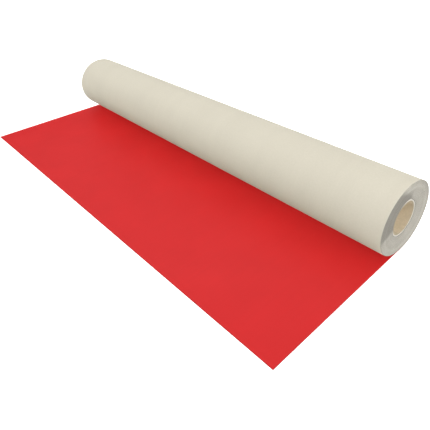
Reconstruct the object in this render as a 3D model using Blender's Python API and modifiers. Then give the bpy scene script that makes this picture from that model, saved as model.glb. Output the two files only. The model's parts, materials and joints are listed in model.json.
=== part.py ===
"""Backdrop roll: a web of one-side-coloured backdrop material wound on a three-inch board core,
with its free end drawn out flat on the floor.

Frame: +X runs along the roll, +Y points away from the drawn-out sheet, +Z is up. The origin is on
the floor, straight below the middle of the roll's axis. All lengths are in metres.

The web leaves the roll at its lowest line. From there it climbs the back (+Y) of the roll, goes
over the top, comes down the front and carries on inwards, so unrolling moves the roll towards +Y.
"""

import math

import bpy

CLEARANCE = 0.0003  # between neighbouring pieces

# web
WEB_WIDTH = 1.350
WEB_THICKNESS = 0.00045
SHEET_LENGTH = 0.448  # drawn out in front of the roll's lowest line
SHEET_LAP = 0.008  # reaches this far behind that line, under the roll

# roll
ROLL_RADIUS = 0.0950
ROUND_STEPS = 60  # flats in one turn of the web
OUTER_TURN_ANGLE = math.radians(370.0)
OUTER_TURN_PITCH = WEB_THICKNESS + CLEARANCE  # inward travel in one turn
AXIS_HEIGHT = OUTER_TURN_PITCH + ROLL_RADIUS

# core: a board tube with kraft plies inside and a smooth wrap outside
CORE_BORE_RADIUS = 0.0381
LINER_THICKNESS = 0.0030
WRAP_THICKNESS = 0.0005
CORE_RADIUS = 0.0460
CORE_RECESS = 0.0045  # the core's ends sit this far inside the web's edges
CORE_LENGTH = WEB_WIDTH - 2.0 * CORE_RECESS
CORE_STEPS = 48
SEAM_MERGE_DISTANCE = 0.0001  # joins the first and last sections of a turned tube

LINER_OUTSIDE = CORE_BORE_RADIUS + LINER_THICKNESS
WRAP_INSIDE = CORE_RADIUS - WRAP_THICKNESS

# start tape, which holds the web's inner end on the core
TAPE_THICKNESS = 0.00025
TAPE_WIDTH = 0.050  # around the core
TAPE_LENGTH = 1.300  # along the core
TAPE_INSIDE = CORE_RADIUS + CLEARANCE
TAPE_OUTSIDE = TAPE_INSIDE + TAPE_THICKNESS

# pack: the wound web between the tape and the outer turn
PACK_LAYERS = 8  # layers that the wound web's solid is drawn with
PACK_TIP = 0.0005  # its least thickness, at its two ends
PACK_EXTRA_GAP = 0.0001  # added to the clearance over the tape
# how far the middle of a flat lies inside the roll's true circle
FLAT_SAG = ROLL_RADIUS * (1.0 - math.cos(math.pi / ROUND_STEPS))


def outer_turn_radius(angle):
    """Radius of the outer turn's outer face, at an angle from the roll's lowest line."""
    return ROLL_RADIUS - OUTER_TURN_PITCH * angle / math.tau


PACK_INSIDE = TAPE_OUTSIDE + CLEARANCE + PACK_EXTRA_GAP
PACK_OUTSIDE = outer_turn_radius(OUTER_TURN_ANGLE) - WEB_THICKNESS - CLEARANCE - FLAT_SAG

# Turns local X, Y and Z of an outline drawn across the roll to world Y, Z and X.
ACROSS_ROLL = (math.radians(90.0), 0.0, math.radians(90.0))
# Turns local Z of a tube to world X.
ALONG_ROLL = (0.0, math.radians(90.0), 0.0)


# ---- scene and materials ----

def clear_scene():
    for obj in list(bpy.data.objects):
        bpy.data.objects.remove(obj, do_unlink=True)


def new_collection(name):
    collection = bpy.data.collections.new(name)
    bpy.context.scene.collection.children.link(collection)
    return collection


def new_material(name, color, roughness):
    material = bpy.data.materials.new(name)
    material.use_nodes = True
    shader = material.node_tree.nodes["Principled BSDF"]
    shader.inputs["Base Color"].default_value = (*color, 1.0)
    shader.inputs["Roughness"].default_value = roughness
    return material


# ---- solids ----

def outline_solid(name, outline, thickness, collection, material):
    """A closed flat outline, filled and given a thickness about its own plane."""
    curve = bpy.data.curves.new(name, "CURVE")
    curve.dimensions = "2D"
    curve.fill_mode = "BOTH"
    curve.extrude = thickness / 2.0
    spline = curve.splines.new("POLY")
    spline.points.add(len(outline) - 1)
    for point, (x, y) in zip(spline.points, outline):
        point.co = (x, y, 0.0, 1.0)
    spline.use_cyclic_u = True
    curve.materials.append(material)
    obj = bpy.data.objects.new(name, curve)
    collection.objects.link(obj)
    return obj


def roll_solid(name, outline, length, collection, material, axis):
    """A solid with one section all along the roll, placed from the roll's axis."""
    obj = outline_solid(name, outline, length, collection, material)
    obj.rotation_euler = ACROSS_ROLL
    obj.parent = axis


def core_tube(name, inside, outside, collection, material, axis):
    """A plain tube as long as the core: its wall's section, turned once about the axis."""
    half = CORE_LENGTH / 2.0
    # the section is drawn along local Z, down its outer side and back up its inner side
    section = [(outside, half), (outside, -half), (inside, -half), (inside, half)]
    mesh = bpy.data.meshes.new(name)
    mesh.from_pydata(
        [(radius, 0.0, z) for radius, z in section], [(i, (i + 1) % 4) for i in range(4)], []
    )
    mesh.materials.append(material)
    obj = bpy.data.objects.new(name, mesh)
    collection.objects.link(obj)
    obj.rotation_euler = ALONG_ROLL
    obj.parent = axis
    screw = obj.modifiers.new("turn", "SCREW")
    screw.axis = "Z"
    screw.angle = math.tau
    screw.steps = CORE_STEPS
    screw.render_steps = CORE_STEPS
    screw.use_merge_vertices = True
    screw.merge_threshold = SEAM_MERGE_DISTANCE
    screw.use_smooth_shade = True


# ---- outlines ----

def polar(radius, angle):
    """A point of the roll's section, at an angle from its lowest line, going up the back first."""
    return radius * math.sin(angle), -radius * math.cos(angle)


def band_outline(angles, outer_radius, inner_radius):
    """A strip between two radii, each a function of the angle: out along one, back the other."""
    outer = [polar(outer_radius(angle), angle) for angle in angles]
    inner = [polar(inner_radius(angle), angle) for angle in angles]
    return outer + inner[::-1]


def steps_between(start, end):
    """Angles on the roll's grid from start to end, both included."""
    step = math.tau / ROUND_STEPS
    # the small shift keeps a grid angle from repeating the start or the end
    first = math.ceil(start / step + 1e-6)
    last = math.floor(end / step - 1e-6)
    return [start] + [i * step for i in range(first, last + 1)] + [end]


def sheet_outline():
    """The web's free end, seen from above."""
    half = WEB_WIDTH / 2.0
    return [(-half, -SHEET_LENGTH), (half, -SHEET_LENGTH), (half, SHEET_LAP), (-half, SHEET_LAP)]


def outer_turn_outline():
    """The last turn of the web: it starts at the roll's lowest line and winds inwards."""
    return band_outline(
        steps_between(0.0, OUTER_TURN_ANGLE),
        outer_turn_radius,
        lambda angle: outer_turn_radius(angle) - WEB_THICKNESS,
    )


def pack_outline():
    """The wound web as one spiral strip that fills a ring and thins away at both of its ends."""
    pitch = (PACK_OUTSIDE - PACK_INSIDE) / PACK_LAYERS
    half_gap = CLEARANCE / 2.0

    def slit(angle):
        return PACK_OUTSIDE - pitch * angle / math.tau

    # the strip lies between the slit and the same slit one turn later, kept within the ring
    tip_angle = (PACK_TIP + half_gap) * math.tau / pitch
    return band_outline(
        steps_between(-math.tau + tip_angle, PACK_LAYERS * math.tau - tip_angle),
        lambda angle: min(PACK_OUTSIDE, slit(angle) - half_gap),
        lambda angle: max(PACK_INSIDE, slit(angle + math.tau) + half_gap),
    )


def tape_outline():
    """An arc of tape over the top of the core, its width rounded to the core's flats."""
    step = math.tau / CORE_STEPS
    count = max(1, round(TAPE_WIDTH / 2.0 / TAPE_INSIDE / step))
    angles = [math.pi + i * step for i in range(-count, count + 1)]
    return band_outline(angles, lambda angle: TAPE_OUTSIDE, lambda angle: TAPE_INSIDE)


# ---- build ----

clear_scene()
roll = new_collection("backdrop_roll")

red_web = new_material("web_colour_side", color=(0.701, 0.036, 0.040), roughness=0.62)
cream_web = new_material("web_reverse", color=(0.730, 0.687, 0.584), roughness=0.70)
wound_edge = new_material("web_edges", color=(0.521, 0.485, 0.407), roughness=0.85)
liner_kraft = new_material("core_liner_kraft", color=(0.470, 0.366, 0.240), roughness=0.85)
core_board = new_material("core_board", color=(0.640, 0.590, 0.490), roughness=0.88)
core_paper = new_material("core_wrap_paper", color=(0.790, 0.760, 0.690), roughness=0.75)
tape_paper = new_material("start_tape_paper", color=(0.620, 0.560, 0.430), roughness=0.60)

# the free end of the web, flat on the floor
laid_sheet = outline_solid("laid_sheet", sheet_outline(), WEB_THICKNESS, roll, red_web)
laid_sheet.location = (0.0, 0.0, WEB_THICKNESS / 2.0)

# everything on the roll is placed from an empty on its axis
axis = bpy.data.objects.new("roll_axis", None)
axis.location = (0.0, 0.0, AXIS_HEIGHT)
roll.objects.link(axis)

for name, outline, length, material in (
    ("outer_turn", outer_turn_outline(), WEB_WIDTH, cream_web),
    ("wound_web", pack_outline(), WEB_WIDTH, wound_edge),
    ("start_tape", tape_outline(), TAPE_LENGTH, tape_paper),
):
    roll_solid(name, outline, length, roll, material, axis)

for name, inside, outside, material in (
    ("core_liner", CORE_BORE_RADIUS, LINER_OUTSIDE, liner_kraft),
    ("core_body", LINER_OUTSIDE + CLEARANCE, WRAP_INSIDE - CLEARANCE, core_board),
    ("core_wrap", WRAP_INSIDE, CORE_RADIUS, core_paper),
):
    core_tube(name, inside, outside, roll, material, axis)
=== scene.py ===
import json
import math

import bmesh
import bpy
import numpy as np
from mathutils import Matrix, Vector


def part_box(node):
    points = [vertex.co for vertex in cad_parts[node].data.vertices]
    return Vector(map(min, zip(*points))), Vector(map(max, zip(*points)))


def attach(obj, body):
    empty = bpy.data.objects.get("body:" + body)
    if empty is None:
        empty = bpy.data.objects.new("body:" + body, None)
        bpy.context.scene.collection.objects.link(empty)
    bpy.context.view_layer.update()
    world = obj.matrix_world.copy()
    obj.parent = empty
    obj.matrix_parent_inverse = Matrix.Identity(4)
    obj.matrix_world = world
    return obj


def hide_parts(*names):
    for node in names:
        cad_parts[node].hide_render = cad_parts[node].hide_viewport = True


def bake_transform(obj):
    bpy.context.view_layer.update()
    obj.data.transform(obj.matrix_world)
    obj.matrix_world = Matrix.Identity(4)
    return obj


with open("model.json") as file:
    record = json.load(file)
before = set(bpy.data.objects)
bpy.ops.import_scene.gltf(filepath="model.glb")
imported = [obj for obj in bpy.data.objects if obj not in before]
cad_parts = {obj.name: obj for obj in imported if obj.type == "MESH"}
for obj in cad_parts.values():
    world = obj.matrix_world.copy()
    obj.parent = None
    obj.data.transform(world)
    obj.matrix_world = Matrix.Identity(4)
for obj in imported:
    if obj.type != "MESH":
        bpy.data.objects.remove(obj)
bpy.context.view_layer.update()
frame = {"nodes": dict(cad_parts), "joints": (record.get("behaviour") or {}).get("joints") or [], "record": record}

record = frame["record"]
joints = {j["name"]: j for j in frame["joints"]}

# ---------------------------------------------------------------- sizes, all from the frame
sheet_lo, sheet_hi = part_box("laid_sheet")
turn_lo, turn_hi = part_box("outer_turn")
core_lo, core_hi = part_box("core_wrap")
body_lo, body_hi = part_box("core_body")
liner_lo, liner_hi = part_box("core_liner")

AXIS = Vector(joints["roll_spin"]["pos_m"])
HALF = sheet_hi.x  # half the web's width
DEPTH = -sheet_lo.y  # how far the sheet is drawn out
WEB = sheet_hi.z - sheet_lo.z  # the web's thickness
CUT = 0.010  # the sheet's front edge is cut a little off square: this much out at each corner
REACH = AXIS.z  # the web's outer face just touches the floor
CORE_OUT = (core_hi.z - core_lo.z) / 2
CORE_END = core_hi.x + 0.0013
LINER = 0.0030  # the kraft plies inside the core's pale wall
BORE = (liner_hi.z - liner_lo.z) / 2 - LINER
KRAFT_WALL = 0.0047  # how much of the core's wall shows kraft at its cut end

LAY = 0.00003  # air between turns of the last turn
TURN_END = math.radians(370.0)  # the last turn hands over to the wound pack here
LOOSE = 0.0007  # the last turn hangs this far off the pack where the sheet leaves it
SAG = 0.0006  # and this much further at the lower back, where the web lifts off the floor late
PACK_OUT = REACH - LOOSE - (WEB + LAY) * TURN_END / math.tau - WEB - 0.00006
PACK_IN = CORE_OUT + 0.00075
CREST = PACK_OUT - 0.0100  # the pack's ends swell to this radius and fall away inwards
SWELL = 0.0008
DISH = 0.0030
ASKEW_Y, ASKEW_Z = 0.045, 0.010  # the web is wound a little askew: its turns wander along the roll


# ---------------------------------------------------------------- smooth seeded noise
def noise1(x, cell, seed):
    """Smooth noise in one direction, about -1 to 1, with one random value every cell."""
    values = np.random.default_rng(seed).uniform(-1.0, 1.0, 4096)
    u = np.asarray(x, float) / cell + 1000.0
    i = np.floor(u).astype(int)
    f = u - i
    f = f * f * (3.0 - 2.0 * f)
    return values[i % 4096] * (1.0 - f) + values[(i + 1) % 4096] * f


def noise2(x, y, cell_x, cell_y, seed):
    """Smooth noise over a plane, about -1 to 1."""
    values = np.random.default_rng(seed).uniform(-1.0, 1.0, (256, 256))
    u, v = np.asarray(x, float) / cell_x + 500.0, np.asarray(y, float) / cell_y + 500.0
    i, j = np.floor(u).astype(int), np.floor(v).astype(int)
    f, g = u - i, v - j
    f, g = f * f * (3.0 - 2.0 * f), g * g * (3.0 - 2.0 * g)
    a = values[i % 256, j % 256] * (1 - f) + values[(i + 1) % 256, j % 256] * f
    b = values[i % 256, (j + 1) % 256] * (1 - f) + values[(i + 1) % 256, (j + 1) % 256] * f
    return a * (1 - g) + b * g


def smooth(x, low, high):
    t = np.clip((np.asarray(x, float) - low) / (high - low), 0.0, 1.0)
    return t * t * (3.0 - 2.0 * t)


def wander(angle):
    """How far along the roll the last turn lies at an angle from the floor, rising at the back."""
    return REACH * (ASKEW_Y * np.sin(angle) + ASKEW_Z * (1.0 - np.cos(angle)))


# ---------------------------------------------------------------- materials
class Tree:
    """A short way to write a material's nodes."""

    def __init__(self, name):
        self.material = bpy.data.materials.new(name)
        self.material.use_nodes = True
        self.nodes = self.material.node_tree.nodes
        self.links = self.material.node_tree.links
        self.shader = self.nodes["Principled BSDF"]

    def put(self, socket, value):
        if isinstance(value, bpy.types.NodeSocket):
            self.links.new(value, socket)
        elif value is not None:
            if socket.type == "VECTOR":
                value = tuple(value)[:3]
            socket.default_value = value

    def node(self, kind, inputs=(), **options):
        n = self.nodes.new(kind)
        for key, value in options.items():
            setattr(n, key, value)
        for key, value in dict(inputs).items():
            self.put(n.inputs[key], value)
        return n

    def math(self, operation, a, b=None, c=None):
        n = self.node("ShaderNodeMath", operation=operation)
        for socket, value in zip(n.inputs, (a, b, c)):
            self.put(socket, value)
        return n.outputs[0]

    def stretch(self, vector, scale):
        n = self.node("ShaderNodeVectorMath", operation="MULTIPLY")
        self.put(n.inputs[0], vector)
        self.put(n.inputs[1], scale)
        return n.outputs[0]

    def noise(self, vector, scale, detail=3.0, rough=0.5, distortion=0.0):
        n = self.node(
            "ShaderNodeTexNoise",
            {"Vector": vector, "Scale": scale, "Detail": detail, "Roughness": rough, "Distortion": distortion},
        )
        return n.outputs["Fac"]

    def remap(self, value, low, high, to_low, to_high):
        n = self.node("ShaderNodeMapRange", clamp=True)
        for key, item in (("Value", value), ("From Min", low), ("From Max", high), ("To Min", to_low), ("To Max", to_high)):
            self.put(n.inputs[key], item)
        return n.outputs["Result"]

    def mix(self, factor, a, b, blend="MIX"):
        n = self.node("ShaderNodeMix", data_type="RGBA", blend_type=blend, clamp_result=False)
        self.put(n.inputs["Factor"], factor)
        self.put(n.inputs[6], a)
        self.put(n.inputs[7], b)
        return n.outputs[2]

    def scale_colour(self, colour, factor):
        """colour times a grey factor."""
        n = self.node("ShaderNodeVectorMath", operation="SCALE")
        self.put(n.inputs[0], colour)
        self.put(n.inputs["Scale"], factor)
        return n.outputs[0]

    def product(self, *factors):
        out = factors[0]
        for f in factors[1:]:
            out = self.math("MULTIPLY", out, f)
        return out

    def bump(self, *layers):
        """Bumps laid over one another: (height, strength, distance in metres)."""
        normal = None
        for height, strength, distance in layers:
            n = self.node("ShaderNodeBump", {"Strength": strength, "Distance": distance, "Height": height})
            if normal is not None:
                self.links.new(normal, n.inputs["Normal"])
            normal = n.outputs["Normal"]
        self.links.new(normal, self.shader.inputs["Normal"])

    def attribute(self, name):
        return self.node("ShaderNodeAttribute", attribute_name=name)


def rgb(r, g, b):
    return (r, g, b, 1.0)


def camera_or_bounce(t, seen, bounced):
    """The colour the eye sees, and the duller one that the surface throws on its neighbours."""
    path = t.node("ShaderNodeLightPath")
    return t.mix(path.outputs["Is Diffuse Ray"], seen, bounced)


def cream_reverse():
    t = Tree("web_reverse_cream")
    flow = t.attribute("flow").outputs["Vector"]
    fibre = t.noise(flow, 850.0, 4.0, 0.62)
    flock = t.noise(flow, 210.0, 3.0, 0.55)
    cloud = t.noise(t.stretch(flow, (1.0, 0.35, 1.0)), 14.0, 3.0, 0.5)
    bands = t.noise(t.stretch(flow, (42.0, 0.5, 1.0)), 1.0, 2.0, 0.5)
    specks = t.noise(flow, 1400.0, 1.0, 0.4)
    tone = t.product(
        t.remap(fibre, 0.30, 0.70, 0.975, 1.02),
        t.remap(flock, 0.30, 0.70, 0.985, 1.012),
        t.remap(cloud, 0.30, 0.70, 0.982, 1.014),
        t.remap(bands, 0.30, 0.70, 0.992, 1.006),
        t.remap(specks, 0.70, 0.78, 1.0, 0.93),
    )
    warm = t.mix(t.remap(flock, 0.35, 0.65, 0.0, 1.0), rgb(0.655, 0.615, 0.505), rgb(0.662, 0.620, 0.517))
    seen = t.scale_colour(warm, tone)
    t.put(t.shader.inputs["Base Color"], camera_or_bounce(t, seen, rgb(0.360, 0.330, 0.270)))
    t.put(t.shader.inputs["Roughness"], t.remap(fibre, 0.3, 0.7, 0.70, 0.82))
    t.put(t.shader.inputs["Specular IOR Level"], 0.30)
    t.bump((fibre, 0.22, 0.00012), (flock, 0.10, 0.0003), (bands, 0.12, 0.0012))
    return t.material


def red_coat():
    t = Tree("web_colour_red")
    flow = t.attribute("flow").outputs["Vector"]
    grain = t.noise(flow, 1100.0, 3.0, 0.6)
    cloud = t.noise(flow, 9.0, 3.0, 0.5)
    streak = t.noise(t.stretch(flow, (130.0, 2.2, 1.0)), 1.0, 3.0, 0.55)
    tone = t.product(
        t.remap(grain, 0.30, 0.70, 0.972, 1.024),
        t.remap(cloud, 0.30, 0.70, 0.985, 1.014),
        t.remap(streak, 0.30, 0.70, 0.988, 1.010),
    )
    base = t.mix(t.remap(cloud, 0.3, 0.7, 0.0, 1.0), rgb(0.588, 0.0125, 0.0136), rgb(0.603, 0.0135, 0.0148))
    # painted shadow: the coat is darkened in the last millimetre or two before a cut, as a shadow line along the
    # sheet's edges
    across = t.node("ShaderNodeSeparateXYZ", {"Vector": flow})
    to_side = t.math("SUBTRACT", HALF, t.math("ABSOLUTE", across.outputs["X"]))
    painted_shadow_to_cut = t.math("MINIMUM", to_side, across.outputs["Y"])
    seen = t.scale_colour(base, t.math("MULTIPLY", tone, t.remap(painted_shadow_to_cut, 0.0006, 0.0020, 0.74, 1.0)))
    t.put(t.shader.inputs["Base Color"], camera_or_bounce(t, seen, rgb(0.400, 0.372, 0.318)))
    t.put(t.shader.inputs["Roughness"], t.remap(grain, 0.3, 0.7, 0.44, 0.54))
    facing = t.node("ShaderNodeLayerWeight", {"Blend": 0.5}).outputs["Facing"]
    t.put(t.shader.inputs["Specular IOR Level"], t.remap(facing, 0.30, 0.62, 0.40, 0.06))
    t.bump((grain, 0.20, 0.00010), (streak, 0.10, 0.0003))
    return t.material


def cut_edge():
    """The slit edge of the web: dark red on the sheet, the coat's colour darkened as painted shade along the cut,
    grey where it is wound up.
    """
    t = Tree("web_cut_edge")
    flow = t.attribute("flow").outputs["Vector"]
    way = t.node("ShaderNodeSeparateXYZ", {"Vector": flow}).outputs["Y"]
    fuzz = t.noise(flow, 1600.0, 3.0, 0.6)
    wound = t.remap(way, DEPTH + 0.004, DEPTH + 0.026, 0.0, 1.0)
    base = t.mix(wound, rgb(0.230, 0.014, 0.014), rgb(0.340, 0.322, 0.282))
    t.put(t.shader.inputs["Base Color"], t.scale_colour(base, t.remap(fuzz, 0.3, 0.7, 0.88, 1.08)))
    t.put(t.shader.inputs["Roughness"], t.remap(fuzz, 0.3, 0.7, 0.80, 0.90))
    t.put(t.shader.inputs["Specular IOR Level"], 0.2)
    t.bump((fuzz, 0.3, 0.0001))
    return t.material


def radius_of(t, spot):
    """The distance of a point from the roll's axis."""
    split = t.node("ShaderNodeSeparateXYZ", {"Vector": spot})
    y, z = split.outputs["Y"], t.math("SUBTRACT", split.outputs["Z"], AXIS.z)
    return t.math("SQRT", t.math("ADD", t.math("MULTIPLY", y, y), t.math("MULTIPLY", z, z)))


def wound_edges():
    """The ends of the pack: every turn's cut edge, each a little lighter or darker than the next."""
    t = Tree("wound_web_edges")
    layer_and_groove_shade = t.attribute("layer_tone").outputs["Fac"]
    spot = t.node("ShaderNodeTexCoord").outputs["Object"]
    radius = radius_of(t, spot)
    dust = t.noise(spot, 420.0, 4.0, 0.6)
    soil = t.noise(spot, 26.0, 3.0, 0.55)
    rings = t.noise(t.node("ShaderNodeCombineXYZ", {"X": radius}).outputs["Vector"], 330.0, 3.0, 0.6)
    # painted light and shade: the outermost turns are painted lighter at the front and darker at the back
    across = t.node("ShaderNodeSeparateXYZ", {"Vector": spot}).outputs["Y"]
    painted_light_front_shade_back = t.remap(across, -0.055, 0.045, 1.07, 0.92)
    rim_painted_light_shade = t.remap(radius, PACK_OUT - 0.009, PACK_OUT - 0.004, 1.0, painted_light_front_shade_back)
    tone = t.product(
        layer_and_groove_shade,
        t.remap(dust, 0.3, 0.7, 0.955, 1.03),
        t.remap(soil, 0.3, 0.7, 0.965, 1.025),
        t.remap(rings, 0.3, 0.7, 0.95, 1.04),
        rim_painted_light_shade,
        # painted highlight: a lighter ring about 13 mm inside the pack's outer edge, where the swell catches the
        # light
        t.remap(t.math("ABSOLUTE", t.math("SUBTRACT", radius, PACK_OUT - 0.0135)), 0.0, 0.0055, 1.07, 1.0),
        # painted shade: darker over the 10 mm next to the core, where the pack meets it
        t.remap(radius, PACK_IN, PACK_IN + 0.010, 0.95, 1.0),
    )
    base = t.mix(t.remap(soil, 0.35, 0.65, 0.0, 1.0), rgb(0.336, 0.319, 0.278), rgb(0.347, 0.330, 0.289))
    t.put(t.shader.inputs["Base Color"], t.scale_colour(base, tone))
    t.put(t.shader.inputs["Roughness"], t.remap(dust, 0.3, 0.7, 0.72, 0.86))
    t.put(t.shader.inputs["Specular IOR Level"], 0.25)
    t.bump((rings, 0.3, 0.0003), (dust, 0.15, 0.0001))
    return t.material


def board_plies():
    """The core's wall: pale board, its cut end showing the plies as fine rings."""
    t = Tree("core_board_plies")
    spot = t.node("ShaderNodeTexCoord").outputs["Object"]
    radius = radius_of(t, spot)
    rings = t.math("SINE", t.math("MULTIPLY", radius, math.tau / 0.00062))
    fibre = t.noise(spot, 900.0, 4.0, 0.65)
    soft = t.noise(spot, 120.0, 3.0, 0.5)
    # painted shade: the cut is darkened at its upper front
    split = t.node("ShaderNodeSeparateXYZ", {"Vector": spot})
    high = t.math("MULTIPLY", t.math("SUBTRACT", split.outputs["Z"], AXIS.z), 0.56)
    shade_upper_front = t.math("SUBTRACT", high, t.math("MULTIPLY", split.outputs["Y"], 0.83))
    tone = t.product(
        t.remap(shade_upper_front, 0.026, 0.040, 1.0, 0.76),
        t.remap(rings, -1.0, 1.0, 0.93, 1.03),
        t.remap(fibre, 0.3, 0.7, 0.94, 1.04),
        t.remap(soft, 0.3, 0.7, 0.97, 1.02),
    )
    t.put(t.shader.inputs["Base Color"], t.scale_colour(rgb(0.860, 0.822, 0.745), tone))
    t.put(t.shader.inputs["Roughness"], t.remap(fibre, 0.3, 0.7, 0.74, 0.88))
    t.put(t.shader.inputs["Specular IOR Level"], 0.25)
    t.bump((fibre, 0.3, 0.00015), (rings, 0.25, 0.0001))
    return t.material


def kraft():
    """The liner inside the bore: kraft paper wound on the slant."""
    t = Tree("core_liner_kraft")
    flow = t.attribute("flow").outputs["Vector"]
    seam = t.attribute("seam").outputs["Fac"]
    fibre = t.noise(t.stretch(flow, (1.0, 0.28, 1.0)), 620.0, 5.0, 0.65)
    mottle = t.noise(flow, 95.0, 4.0, 0.6, 0.4)
    cloud = t.noise(flow, 18.0, 3.0, 0.5)
    tone = t.product(
        t.remap(fibre, 0.3, 0.7, 0.90, 1.07),
        t.remap(mottle, 0.3, 0.7, 0.91, 1.07),
        t.remap(seam, 0.0, 1.0, 1.0, 0.72),
    )
    base = t.mix(t.remap(cloud, 0.3, 0.7, 0.0, 1.0), rgb(0.525, 0.442, 0.308), rgb(0.602, 0.510, 0.371))
    t.put(t.shader.inputs["Base Color"], t.scale_colour(base, tone))
    t.put(t.shader.inputs["Roughness"], t.remap(fibre, 0.3, 0.7, 0.70, 0.86))
    t.put(t.shader.inputs["Specular IOR Level"], 0.28)
    t.bump((fibre, 0.3, 0.00012), (mottle, 0.15, 0.0003))
    return t.material


def kraft_plies():
    """The cut end of the kraft plies: tan, with fine rings."""
    t = Tree("core_kraft_plies")
    spot = t.node("ShaderNodeTexCoord").outputs["Object"]
    rings = t.math("SINE", t.math("MULTIPLY", radius_of(t, spot), math.tau / 0.00055))
    fibre = t.noise(spot, 700.0, 4.0, 0.65)
    tone = t.math("MULTIPLY", t.remap(rings, -1.0, 1.0, 0.90, 1.04), t.remap(fibre, 0.3, 0.7, 0.91, 1.06))
    t.put(t.shader.inputs["Base Color"], t.scale_colour(rgb(0.500, 0.420, 0.290), tone))
    t.put(t.shader.inputs["Roughness"], t.remap(fibre, 0.3, 0.7, 0.74, 0.88))
    t.put(t.shader.inputs["Specular IOR Level"], 0.25)
    t.bump((fibre, 0.3, 0.00015), (rings, 0.25, 0.0001))
    return t.material


def paper_tape():
    t = Tree("start_tape_paper")
    spot = t.node("ShaderNodeTexCoord").outputs["Object"]
    crepe = t.noise(t.stretch(spot, (1.0, 0.2, 0.2)), 900.0, 3.0, 0.6)
    cloud = t.noise(spot, 40.0, 3.0, 0.5)
    tone = t.product(t.remap(crepe, 0.3, 0.7, 0.92, 1.05), t.remap(cloud, 0.3, 0.7, 0.95, 1.04))
    t.put(t.shader.inputs["Base Color"], t.scale_colour(rgb(0.62, 0.56, 0.43), tone))
    t.put(t.shader.inputs["Roughness"], t.remap(crepe, 0.3, 0.7, 0.52, 0.68))
    t.bump((crepe, 0.4, 0.0001))
    return t.material


# ---------------------------------------------------------------- mesh helpers
def new_object(name, verts, faces, materials, face_materials=None, smooth_angle=35.0):
    mesh = bpy.data.meshes.new(name)
    mesh.from_pydata([tuple(v) for v in verts], [], [tuple(f) for f in faces])
    for m in materials:
        mesh.materials.append(m)
    if face_materials is not None:
        mesh.polygons.foreach_set("material_index", np.asarray(face_materials, np.int32))
    mesh.polygons.foreach_set("use_smooth", np.ones(len(mesh.polygons), bool))
    mesh.update()
    if smooth_angle is not None:
        mesh.set_sharp_from_angle(angle=math.radians(smooth_angle))
    obj = bpy.data.objects.new(name, mesh)
    bpy.context.scene.collection.objects.link(obj)
    return obj


def point_vectors(obj, name, values):
    attribute = obj.data.attributes.new(name, "FLOAT_VECTOR", "POINT")
    attribute.data.foreach_set("vector", np.asarray(values, np.float32).ravel())


def point_values(obj, name, values):
    attribute = obj.data.attributes.new(name, "FLOAT", "POINT")
    attribute.data.foreach_set("value", np.asarray(values, np.float32))


def grid_quads(rows, columns, first=0, flip=False):
    """Quads over a grid of rows x columns points numbered row by row."""
    i, j = np.meshgrid(np.arange(rows - 1), np.arange(columns - 1), indexing="ij")
    a = first + (i * columns + j).ravel()
    quads = np.stack([a, a + 1, a + columns + 1, a + columns], 1)
    return quads[:, ::-1] if flip else quads


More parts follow.
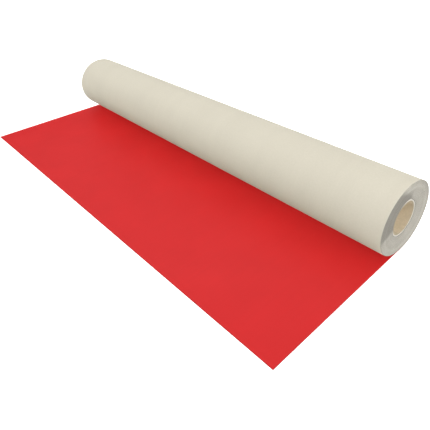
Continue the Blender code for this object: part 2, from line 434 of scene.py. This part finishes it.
# ---------------------------------------------------------------- the web: sheet, bend and last turn
def web_strip():
    """One strip of web: flat on the floor, then tangent into the roll's last turn."""
    across = 96
    xs = np.linspace(-HALF, HALF, across + 1)
    flat = np.linspace(0.0, DEPTH, 91)[:-1]
    angles = np.linspace(0.0, TURN_END, 196)
    # reverse face (down and outside) and colour face (up and inside), with the way along the web
    along, reverse, colour = [], [], []
    for s in flat:
        lift = 0.0
        along.append(s)
        reverse.append((s - DEPTH, lift, None))
        colour.append((s - DEPTH, lift + WEB, None))
    for a in angles:
        outside = REACH - (WEB + LAY) * a / math.tau - LOOSE * float(smooth(a, 0.0, math.radians(75)))
        sag = SAG * float(smooth(a, 0.0, math.radians(24)) * (1.0 - smooth(a, math.radians(26), math.radians(64))))
        outside += min(sag, REACH * (1.0 / max(math.cos(a), 0.05) - 1.0) * 0.9)
        along.append(DEPTH + a * REACH)
        reverse.append((outside * math.sin(a), AXIS.z - outside * math.cos(a), a))
        inside = outside - WEB
        colour.append((inside * math.sin(a), AXIS.z - inside * math.cos(a), a))
    along = np.array(along)
    rows = len(along)
    angle = np.concatenate([np.zeros(len(flat)), angles])
    on_roll = np.arange(rows) >= len(flat)

    # the sheet lies almost flat: low, broad waves that die out at the roll; the roll's last turn
    # is a touch thicker in some places than others across the width
    wave = 0.00030 * (1.0 + noise2(xs[None, :], along[:, None], 0.16, 0.11, 11))
    wave += 0.00012 * (1.0 + noise2(xs[None, :], along[:, None], 0.055, 0.07, 12))
    wave *= (smooth(along, 0.0, 0.05) * (1.0 - smooth(along, DEPTH - 0.16, DEPTH - 0.06)))[:, None]
    wave *= np.where(on_roll, 0.0, 1.0)[:, None]
    edge = smooth(HALF - np.abs(xs), 0.0, 0.04)[None, :]
    wave *= 0.25 + 0.75 * edge
    swell = 0.00006 * (1.0 + noise1(xs, 0.060, 21))[None, :] + 0.00004 * (
        1.0 + noise2(xs[None, :], along[:, None], 0.12, 0.13, 22)
    )
    swell = swell * (
        smooth(angle, math.radians(12), math.radians(60))
        * (1.0 - smooth(angle, math.radians(300), math.radians(345)))
    )[:, None]

    def surface(points):
        yz = np.array([(p[0], p[1]) for p in points])
        y = np.repeat(yz[:, 0:1], across + 1, 1)
        z = np.repeat(yz[:, 1:2], across + 1, 1)
        z = z + wave
        y = y + swell * np.sin(angle)[:, None]
        y = y + CUT * (xs / HALF)[None, :] * (1.0 - smooth(along, 0.0, 0.7 * DEPTH))[:, None]
        z = z - swell * np.cos(angle)[:, None] * on_roll[:, None]
        x = np.repeat(xs[None, :], rows, 0) + wander(angle)[:, None]
        return np.stack([x, y, z], -1).reshape(-1, 3)

    under, over = surface(reverse), surface(colour)
    verts = np.concatenate([under, over])
    n = len(under)
    cols = across + 1
    # along the rows y grows and x grows across them: the over side's normal is then up
    faces = [grid_quads(rows, cols, 0, flip=False), grid_quads(rows, cols, n, flip=True)]
    # where the colour side is pressed on the pack its rim is scuffed grey
    row_of, column_of = np.divmod(np.arange(len(faces[1])), across)
    pressed = (angle[row_of] > math.radians(7)) & (np.abs(xs[column_of] + HALF / across) > HALF - 0.03)
    kinds = [np.zeros(len(faces[0])), np.where(pressed, 2, 1)]
    r = np.arange(rows - 1)
    left, right = r * cols, r * cols + cols - 1
    sides = [
        np.stack([left, left + cols, left + cols + n, left + n], 1),
        np.stack([right + cols, right, right + n, right + cols + n], 1),
    ]
    c = np.arange(across)
    last = (rows - 1) * cols
    ends = [
        np.stack([c + 1, c, c + n, c + 1 + n], 1),
        np.stack([last + c, last + c + 1, last + c + 1 + n, last + c + n], 1),
    ]
    for group in sides + ends:
        faces.append(group)
        kinds.append(np.full(len(group), 2))
    faces = np.concatenate(faces)
    kinds = np.concatenate(kinds)
    obj = new_object("web_strip", verts, faces, [CREAM, RED, EDGE], kinds)
    flow = np.stack(
        [np.tile(xs, rows), np.repeat(along, cols), np.zeros(rows * cols)], 1
    )
    point_vectors(obj, "flow", np.concatenate([flow, flow + (0.0, 0.0, 3.0)]))
    return obj


# ---------------------------------------------------------------- the wound pack
STEPS = 144  # points in one turn


def pack_end(name, side):
    """One end of the pack as a disc 14 mm deep: the spiral of the web's cut edges on its face."""
    turns = (PACK_OUT - PACK_IN) / WEB - 1.0
    count = int(turns * STEPS)
    rng_seed = 40 if side > 0 else 80
    s = np.arange(count + STEPS + 1)
    phase = s / STEPS
    groove_r = PACK_OUT - WEB * phase
    turn_angle = TURN_END + math.tau * phase

    def face_x(radius, angle):
        inward = np.clip((PACK_OUT - radius) / (PACK_OUT - PACK_IN), 0.0, 1.0)
        outer = np.clip((PACK_OUT - radius) / (PACK_OUT - CREST), 0.0, 1.0)
        inner = np.clip((CREST - radius) / (CREST - PACK_IN), 0.0, 1.0)
        dish = DISH * inner**1.3 - SWELL * np.sin(outer * math.pi / 2)
        bands = 0.00016 * noise1(radius, 0.0042, rng_seed) + 0.00009 * noise1(radius, 0.0013, rng_seed + 1)
        skew = 0.00022 * np.sin(angle + 1.3) * inward + 0.00010 * np.sin(2 * angle + 9.0 * inward)
        # the turns wander along the roll, the more the further out, so the end isn't quite square
        creep = side * wander(angle) * np.clip((radius - PACK_IN) / (PACK_OUT - PACK_IN), 0.0, 1.0)
        return HALF - 0.00005 - dish + creep + (bands + skew) * np.clip(inward / 0.04, 0.0, 1.0)

    jitter = 0.00003 * noise1(phase, 0.31, rng_seed + 2) + 0.00002 * noise1(phase, 1.0, rng_seed + 3)
    depth = 0.00009

    def ring(radius, angle, x):
        return np.stack([side * x, radius * np.sin(angle), AXIS.z - radius * np.cos(angle)], -1)

    groove = ring(groove_r, turn_angle, face_x(groove_r, turn_angle) - depth)
    k = slice(0, count + 1)
    r1, r2 = groove_r[k] - 0.24 * WEB, groove_r[k] - 0.76 * WEB
    a = turn_angle[k]
    crest1 = ring(r1, a, face_x(r1, a) + jitter[k])
    crest2 = ring(r2, a, face_x(r2, a) + jitter[k])
    g0, c1, c2 = 0, len(groove), len(groove) + count + 1
    verts = [groove, crest1, crest2]

    i = np.arange(count)
    strips = [
        np.stack([g0 + i, g0 + i + 1, c1 + i + 1, c1 + i], 1),
        np.stack([c1 + i, c1 + i + 1, c2 + i + 1, c2 + i], 1),
        np.stack([c2 + i, c2 + i + 1, g0 + i + 1 + STEPS, g0 + i + STEPS], 1),
    ]
    faces = [f[:, ::-1] if side > 0 else f for f in strips]

    # close the disc: walls from the outer and inner edges of the spiral to a flat back
    outer = list(range(g0, g0 + STEPS + 1)) + [c2, c1]
    inner = list(range(g0 + count, g0 + count + STEPS + 1)) + [c2 + count, c1 + count]
    front = np.concatenate(verts)
    back_x = side * (HALF - 0.016)
    total = len(front)
    loops = []
    for loop in (outer, inner):
        points = front[loop].copy()
        points[:, 0] = back_x
        first = total
        total += len(loop)
        verts.append(points)
        loops.append((loop, first))
    for index, (loop, first) in enumerate(loops):
        n = len(loop)
        j = np.arange(n)
        nxt = (j + 1) % n
        front_ids = np.array(loop)
        quad = np.stack([front_ids[j], front_ids[nxt], first + nxt, first + j], 1)
        faces.append(quad if (index == 0) == (side > 0) else quad[:, ::-1])
    n = len(outer)
    j = np.arange(n)
    nxt = (j + 1) % n
    outer_first, inner_first = loops[0][1], loops[1][1]
    # both loops have the same number of points and start at different angles: turn the inner one
    start_outer = turn_angle[0]
    start_inner = turn_angle[count]
    shift = int(round(((start_outer - start_inner) % math.tau) / math.tau * STEPS)) % STEPS
    back = []
    if n != len(inner):
        raise ValueError("the pack's loops differ")
    # walk the two loops by angle, so that the back face is a plain ring
    def loop_angles(loop):
        p = front[loop]
        return np.unwrap(np.arctan2(p[:, 1], -(p[:, 2] - AXIS.z)))
    oa = loop_angles(outer)
    ia = loop_angles(inner)
    ia = ia - round((ia[0] - oa[0]) / math.tau) * math.tau
    o_order = np.arange(n)
    i_order = (np.arange(n) + int(np.argmin(np.abs(np.exp(1j * ia) - np.exp(1j * oa[0]))))) % n
    quad = np.stack(
        [
            outer_first + o_order,
            outer_first + np.roll(o_order, -1),
            inner_first + np.roll(i_order, -1),
            inner_first + i_order,
        ],
        1,
    )
    faces.append(quad if side > 0 else quad[:, ::-1])
    verts = np.concatenate(verts)
    faces = np.concatenate(faces)
    obj = new_object(name, verts, faces, [PACK], smooth_angle=None)

    bm = bmesh.new()
    bm.from_mesh(obj.data)
    bmesh.ops.recalc_face_normals(bm, faces=bm.faces)
    bm.to_mesh(obj.data)
    bm.free()
    obj.data.set_sharp_from_angle(angle=math.radians(50))

    radius = np.hypot(verts[:, 1], verts[:, 2] - AXIS.z)
    tone = np.ones(len(verts))
    broad = 1.0 + 0.035 * noise1(radius, 0.0060, rng_seed + 5) + 0.030 * noise1(radius, 0.0019, rng_seed + 6)
    fine = 1.0 + 0.045 * noise1(phase, 0.47, rng_seed + 7) + 0.03 * noise1(phase, 2.3, rng_seed + 8)
    # painted shade: the grooves between the turns' edges are darkened to 0.66, as the shade in them; the crests keep
    # a random tone
    tone[: len(groove)] = 0.66
    tone[: STEPS + 1] = 0.95
    tone[c1 : c1 + count + 1] = fine[k]
    tone[c2 : c2 + count + 1] = fine[k] * 0.985
    point_values(obj, "layer_tone", tone * broad)
    return obj


def turned(name, profile, materials, steps=128, smooth_angle=35.0):
    """A closed profile of (x, radius) turned about the roll's axis."""
    profile = np.array(profile)
    n = len(profile)
    a = np.arange(steps) * math.tau / steps
    x = np.repeat(profile[None, :, 0], steps, 0)
    r = np.repeat(profile[None, :, 1], steps, 0)
    y = r * np.sin(a)[:, None]
    z = AXIS.z - r * np.cos(a)[:, None]
    verts = np.stack([x, y, z], -1).reshape(-1, 3)
    i, j = np.meshgrid(np.arange(steps), np.arange(n), indexing="ij")
    i, j = i.ravel(), j.ravel()
    i2, j2 = (i + 1) % steps, (j + 1) % n
    faces = np.stack([i * n + j, i * n + j2, i2 * n + j2, i2 * n + j], 1)
    obj = new_object(name, verts, faces, materials, smooth_angle=None)
    bm = bmesh.new()
    bm.from_mesh(obj.data)
    bmesh.ops.recalc_face_normals(bm, faces=bm.faces)
    bm.to_mesh(obj.data)
    bm.free()
    obj.data.set_sharp_from_angle(angle=math.radians(smooth_angle))
    return obj


def pack_barrel():
    """The pack between its two ends: a plain round tube under the last turn."""
    end = HALF - 0.0162
    xs = np.linspace(-end, end, 25)
    outer = [(x, PACK_OUT - 0.00002) for x in xs]
    inner = [(x, PACK_IN + 0.0005) for x in xs[::-1]]
    obj = turned("wound_web_barrel", outer + inner, [CREAM], steps=180)
    co = np.array([v.co for v in obj.data.vertices])
    angle = np.arctan2(co[:, 1], AXIS.z - co[:, 2]) % math.tau
    point_vectors(obj, "flow", np.stack([co[:, 0], angle * REACH, np.zeros(len(co))], 1))
    return obj


# ---------------------------------------------------------------- the core
def cut_askew(obj):
    """The core's ends are cut a little off square, half as much as the web's ends are."""
    mesh = obj.data
    co = np.empty(len(mesh.vertices) * 3, np.float32)
    mesh.vertices.foreach_get("co", co)
    co = co.reshape(-1, 3)
    co[:, 0] += 0.5 * (ASKEW_Y * co[:, 1] + ASKEW_Z * (co[:, 2] - AXIS.z))
    mesh.vertices.foreach_set("co", co.ravel())
    mesh.update()
    return obj


def cut_tube(name, inside, outside, plies, material, seed):
    """A tube of wound plies: its two cut ends slightly rounded, the plies as shallow steps."""
    radii = np.linspace(inside, outside, plies * 3 + 1)
    level = np.random.default_rng(seed).uniform(-0.00010, 0.00006, plies)

    def end(sign):
        points = []
        for i, r in enumerate(radii):
            dip = -0.00012 if i % 3 == 0 else level[min(i // 3, plies - 1)]
            if i in (0, len(radii) - 1):
                dip = -0.00035
            points.append((sign * (CORE_END + dip), r))
        return points

    rows = np.linspace(-CORE_END + 0.02, CORE_END - 0.02, 13)
    profile = end(1.0) + [(x, outside) for x in rows[::-1]] + end(-1.0)[::-1] + [(x, inside) for x in rows]
    return turned(name, profile, [material], steps=160, smooth_angle=40.0)


SKIN = 0.0005  # the innermost ply of the bore


def core_liner():
    """The kraft liner: wound on the slant, so that its lap runs down the bore as a helix."""
    steps, lead = 120, 0.118
    offsets = np.array([0.0, 0.0006, 0.0012, 0.004, 0.03, 0.06, 0.09, 0.114])
    height = np.array([1.0, 1.0, 0.35, 0.0, 0.0, 0.0, 0.0, 0.0])
    seam = np.array([1.0, 0.9, 0.15, 0.0, 0.0, 0.0, 0.0, 0.25])
    first = -CORE_END - 1.2 * lead
    turns = int(math.ceil((2 * CORE_END + 2.4 * lead) / lead)) + 1
    base = (first + lead * np.arange(turns)[:, None] + offsets[None, :]).ravel()
    rise = np.tile(height, turns)
    mark = np.tile(seam, turns)
    rows = len(base)
    a = np.arange(steps + 1) * math.tau / steps
    x = base[:, None] + lead * (a / math.tau)[None, :]
    r = BORE - 0.00016 * rise[:, None] * np.ones_like(a)[None, :]
    y, z = r * np.sin(a)[None, :], AXIS.z - r * np.cos(a)[None, :]
    verts = np.stack([x, y, z], -1).reshape(-1, 3)
    faces = grid_quads(rows, steps + 1)
    mesh = bpy.data.meshes.new("core_liner_bore")
    mesh.from_pydata([tuple(v) for v in verts], [], [tuple(f) for f in faces])
    marks = mesh.attributes.new("seam", "FLOAT", "POINT")
    marks.data.foreach_set("value", np.repeat(mark, steps + 1).astype(np.float32))
    # the grid's two long edges are one lead apart: join them by welding equal points
    bm = bmesh.new()
    bm.from_mesh(mesh)
    bmesh.ops.remove_doubles(bm, verts=bm.verts, dist=1e-6)
    for sign in (1.0, -1.0):
        bmesh.ops.bisect_plane(
            bm,
            geom=list(bm.verts) + list(bm.edges) + list(bm.faces),
            dist=1e-7,
            plane_co=(sign * (CORE_END - 0.00035), 0, 0),
            plane_no=(sign, 0, 0),
            clear_outer=True,
        )
    # face the bore
    for f in bm.faces:
        c = f.calc_center_median()
        toward = Vector((0.0, -c.y, AXIS.z - c.z))
        if f.normal.dot(toward) < 0:
            f.normal_flip()
    for f in bm.faces:
        f.smooth = True
    bm.to_mesh(mesh)
    bm.free()
    mesh.materials.append(KRAFT)
    obj = bpy.data.objects.new("core_liner_bore", mesh)
    bpy.context.scene.collection.objects.link(obj)
    co = np.array([v.co for v in mesh.vertices])
    angle = np.arctan2(co[:, 1], AXIS.z - co[:, 2]) % math.tau
    u = co[:, 0] - lead * angle / math.tau
    point_vectors(obj, "flow", np.stack([u, angle * BORE + u * 0.3, co[:, 2]], 1))
    solid = obj.modifiers.new("thickness", "SOLIDIFY")
    solid.thickness = SKIN
    solid.offset = -1.0
    solid.use_even_offset = False
    dg = bpy.context.evaluated_depsgraph_get()
    made = bpy.data.meshes.new_from_object(obj.evaluated_get(dg), preserve_all_data_layers=True, depsgraph=dg)
    obj.modifiers.clear()
    obj.data = made
    obj.data.set_sharp_from_angle(angle=math.radians(50))
    return obj


CREAM, RED, EDGE = cream_reverse(), red_coat(), cut_edge()
PACK, BOARD, KRAFT, TAPE = wound_edges(), board_plies(), kraft(), paper_tape()
KRAFT_PLIES = kraft_plies()

web = web_strip()
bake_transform(web)
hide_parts("laid_sheet", "outer_turn")

for piece, slot_name, stands_for in (
    (pack_end("wound_web_right_end", 1.0), "web_edges", ("wound_web",)),
    (pack_end("wound_web_left_end", -1.0), "web_edges", ("wound_web",)),
    (pack_barrel(), "web_reverse", ("wound_web",)),
    (
        cut_askew(cut_tube("core_board_tube", BORE + KRAFT_WALL + 0.00004, CORE_OUT, 5, BOARD, 7)),
        "core_board",
        ("core_body", "core_wrap"),
    ),
    (
        cut_askew(cut_tube("core_kraft_tube", BORE + SKIN + 0.00004, BORE + KRAFT_WALL, 7, KRAFT_PLIES, 8)),
        "core_liner",
        ("core_liner",),
    ),
    (cut_askew(core_liner()), "core_liner", ("core_liner",)),
):
    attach(piece, "wound_roll")
    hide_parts(*stands_for)

tape = frame["nodes"]["start_tape"]
for material_slot in tape.material_slots:
    material_slot.material = TAPE

# ---------------------------------------------------------------- floor, light, camera
def floor():
    size = 14.0
    mesh = bpy.data.meshes.new("studio_floor")
    mesh.from_pydata([(-size, -size, 0), (size, -size, 0), (size, size, 0), (-size, size, 0)], [], [(0, 1, 2, 3)])
    t = Tree("studio_floor_white")
    spot = t.node("ShaderNodeTexCoord").outputs["Object"]
    cloud = t.noise(spot, 3.0, 3.0, 0.5)
    t.put(t.shader.inputs["Base Color"], t.scale_colour(rgb(0.93, 0.93, 0.93), t.remap(cloud, 0.3, 0.7, 0.99, 1.01)))
    t.put(t.shader.inputs["Roughness"], 0.85)
    t.put(t.shader.inputs["Specular IOR Level"], 0.1)
    # the eye sees it blown out to white, as in an overexposed sweep
    t.put(t.shader.inputs["Emission Color"], rgb(1.0, 1.0, 1.0))
    path = t.node("ShaderNodeLightPath")
    t.put(t.shader.inputs["Emission Strength"], t.math("MULTIPLY", path.outputs["Is Camera Ray"], 0.55))
    mesh.materials.append(t.material)
    obj = bpy.data.objects.new("studio_floor", mesh)
    bpy.context.scene.collection.objects.link(obj)
    obj.location.z = -0.0002


def soft_sun(name, toward, strength, spread, shadow=True, only=None):
    light = bpy.data.lights.new(name, "SUN")
    light.use_shadow = shadow
    if not shadow:
        light.cycles.use_multiple_importance_sampling = False
    light.energy = strength
    light.angle = math.radians(spread)
    obj = bpy.data.objects.new(name, light)
    bpy.context.scene.collection.objects.link(obj)
    obj.rotation_mode = "QUATERNION"
    obj.rotation_quaternion = Vector(toward).to_track_quat("Z", "Y")
    if only:
        lit = bpy.data.collections.new(name + "_lights")
        for item in only:
            lit.objects.link(item)
        obj.light_linking.receiver_collection = lit
    return obj


def flagged_lamp(name, side, end, power):
    """A lamp facing one end of the roll. Its flag is a mask in the lamp's own nodes."""
    light = bpy.data.lights.new(name, "POINT")
    light.energy = power
    light.shadow_soft_size = 0.0
    light.use_shadow = False
    light.use_nodes = True
    nodes, links = light.node_tree.nodes, light.node_tree.links
    place = Vector((side * (HALF + 1.6), -0.5, 0.9))

    def math_node(operation, a, b=None, clamp=False):
        n = nodes.new("ShaderNodeMath")
        n.operation = operation
        n.use_clamp = clamp
        for socket, value in zip(n.inputs, (a, b)):
            if isinstance(value, bpy.types.NodeSocket):
                links.new(value, socket)
            elif value is not None:
                socket.default_value = value
        return n.outputs[0]

    # where the ray meets the plane of the end
    ray = nodes.new("ShaderNodeSeparateXYZ")
    links.new(nodes.new("ShaderNodeNewGeometry").outputs["Incoming"], ray.inputs[0])
    far = math_node("DIVIDE", side * HALF - place.x, ray.outputs["X"])
    y = math_node("ADD", place.y, math_node("MULTIPLY", far, ray.outputs["Y"]))
    z = math_node("ADD", place.z - AXIS.z, math_node("MULTIPLY", far, ray.outputs["Z"]))

    def ramp(value, low, high):
        return math_node("DIVIDE", math_node("SUBTRACT", value, low), high - low, clamp=True)

    # the flag: above one line, under another, and between the back and the front of the roll
    lower = math_node("SUBTRACT", z, math_node("MULTIPLY", math_node("ADD", y, 0.056), 0.368))
    upper = math_node("ADD", z, math_node("MULTIPLY", math_node("ADD", y, 0.040), 0.43))
    shade = math_node("MULTIPLY", ramp(lower, -0.015, -0.004), ramp(upper, 0.095, 0.077))
    shade = math_node("MULTIPLY", shade, ramp(y, 0.024, 0.008))
    shade = math_node("MULTIPLY", shade, ramp(y, -0.130, -0.105))
    emission = nodes["Emission"]
    links.new(math_node("SUBTRACT", 1.0, shade), emission.inputs["Strength"])
    obj = bpy.data.objects.new(name, light)
    bpy.context.scene.collection.objects.link(obj)
    obj.location = place
    lit = bpy.data.collections.new(name + "_lights")
    lit.objects.link(end)
    obj.light_linking.receiver_collection = lit
    obj.visible_glossy = False
    return obj


def studio_world():
    """An even white room: a little brighter overhead and in front, a little darker to the right."""
    world = bpy.data.worlds.new("studio")
    bpy.context.scene.world = world
    world.use_nodes = True
    nodes, links = world.node_tree.nodes, world.node_tree.links
    background = nodes["Background"]
    spot = nodes.new("ShaderNodeTexCoord")
    lean = nodes.new("ShaderNodeVectorMath")
    lean.operation = "DOT_PRODUCT"
    links.new(spot.outputs["Generated"], lean.inputs[0])
    lean.inputs[1].default_value = WORLD_LEAN
    total = nodes.new("ShaderNodeMath")
    total.operation = "ADD"
    links.new(lean.outputs["Value"], total.inputs[0])
    total.inputs[1].default_value = WORLD_BASE
    path = nodes.new("ShaderNodeLightPath")
    pick = nodes.new("ShaderNodeMix")
    pick.data_type = "FLOAT"
    links.new(path.outputs["Is Camera Ray"], pick.inputs[0])
    links.new(total.outputs[0], pick.inputs[2])
    pick.inputs[3].default_value = 1.6
    mirror = nodes.new("ShaderNodeMix")
    mirror.data_type = "FLOAT"
    links.new(path.outputs["Is Glossy Ray"], mirror.inputs[0])
    links.new(pick.outputs[0], mirror.inputs[2])
    mirror.inputs[3].default_value = 1.0
    links.new(mirror.outputs[0], background.inputs["Strength"])
    background.inputs["Color"].default_value = (1.0, 1.0, 1.0, 1.0)


floor()
WORLD_BASE, WORLD_LEAN = 0.26, (-0.03, -0.03, 0.04)
END_LAMP = 104.0
studio_world()
# a big even soft box overhead, so wide that it fills the shadows
dome = soft_sun("overhead_fill", (0.0, 0.0, 1.0), 1.70, 180.0, shadow=False)
dome.visible_glossy = False
# the part of that box above the front of the roll: it leaves the soft shadow where the sheet
# runs in under the roll
front = soft_sun("front_soft_box", (0.0, -0.2, 0.98), 0.80, 110.0)
front.visible_glossy = False
# a weak lamp near the right end, so that the far end falls off a little
near_light = bpy.data.lights.new("near_lamp", "POINT")
near_light.energy = 12.0
near_light.shadow_soft_size = 0.0
near_light.use_shadow = False
near_lamp = bpy.data.objects.new("near_lamp", near_light)
bpy.context.scene.collection.objects.link(near_lamp)
near_lamp.location = (1.3, -1.1, 1.9)
near_lamp.visible_glossy = False
near_lit = bpy.data.collections.new("near_lamp_lights")
near_lit.objects.link(web)
near_lamp.light_linking.receiver_collection = near_lit
# a lamp on each end, with a flag that shades the upper front of the end
for side, end in ((1.0, "wound_web_right_end"), (-1.0, "wound_web_left_end")):
    flagged_lamp(end + "_lamp", side, bpy.data.objects[end], END_LAMP)

view = bpy.context.scene.view_settings
view.view_transform = "Standard"
view.look = "None"
view.exposure = 0.0
view.gamma = 1.0

EYE = Vector((0.7271 * 2 * HALF, -0.6006 * 2 * HALF, 0.5261 * 2 * HALF))
YAW, PITCH, ROLL, FOCAL, CENTRE_Y = -0.8627, 0.5263, -0.0509, 433.4, 161.2
ahead = Vector((math.sin(YAW) * math.cos(PITCH), math.cos(YAW) * math.cos(PITCH), -math.sin(PITCH)))
right = ahead.cross(Vector((0, 0, 1))).normalized()
up = right.cross(ahead)
right_turned = math.cos(ROLL) * right + math.sin(ROLL) * up
up_turned = -math.sin(ROLL) * right + math.cos(ROLL) * up
camera_data = bpy.data.cameras.new("camera")
camera = bpy.data.objects.new("camera", camera_data)
bpy.context.scene.collection.objects.link(camera)
camera.rotation_mode = "QUATERNION"
camera.location = EYE
camera.rotation_quaternion = Matrix((right_turned, up_turned, -ahead)).transposed().to_quaternion()
camera_data.sensor_width = 36.0
camera_data.lens = 36.0 * FOCAL / 430.0
camera_data.clip_start, camera_data.clip_end = 0.01, 100.0
# The lens is shifted at this viewpoint only: from any other, the shift is zero.
driver = camera_data.driver_add("shift_y").driver
driver.type = "SCRIPTED"
place = driver.variables.new()
place.name = "px"
place.type = "TRANSFORMS"
place.targets[0].id = camera
place.targets[0].transform_type = "LOC_X"
place.targets[0].transform_space = "WORLD_SPACE"
driver.expression = f"{(CENTRE_Y - 215.0) / 430.0:.6f} if abs(px - {EYE.x:.6f}) < 0.0005 else 0.0"
bpy.context.scene.camera = camera
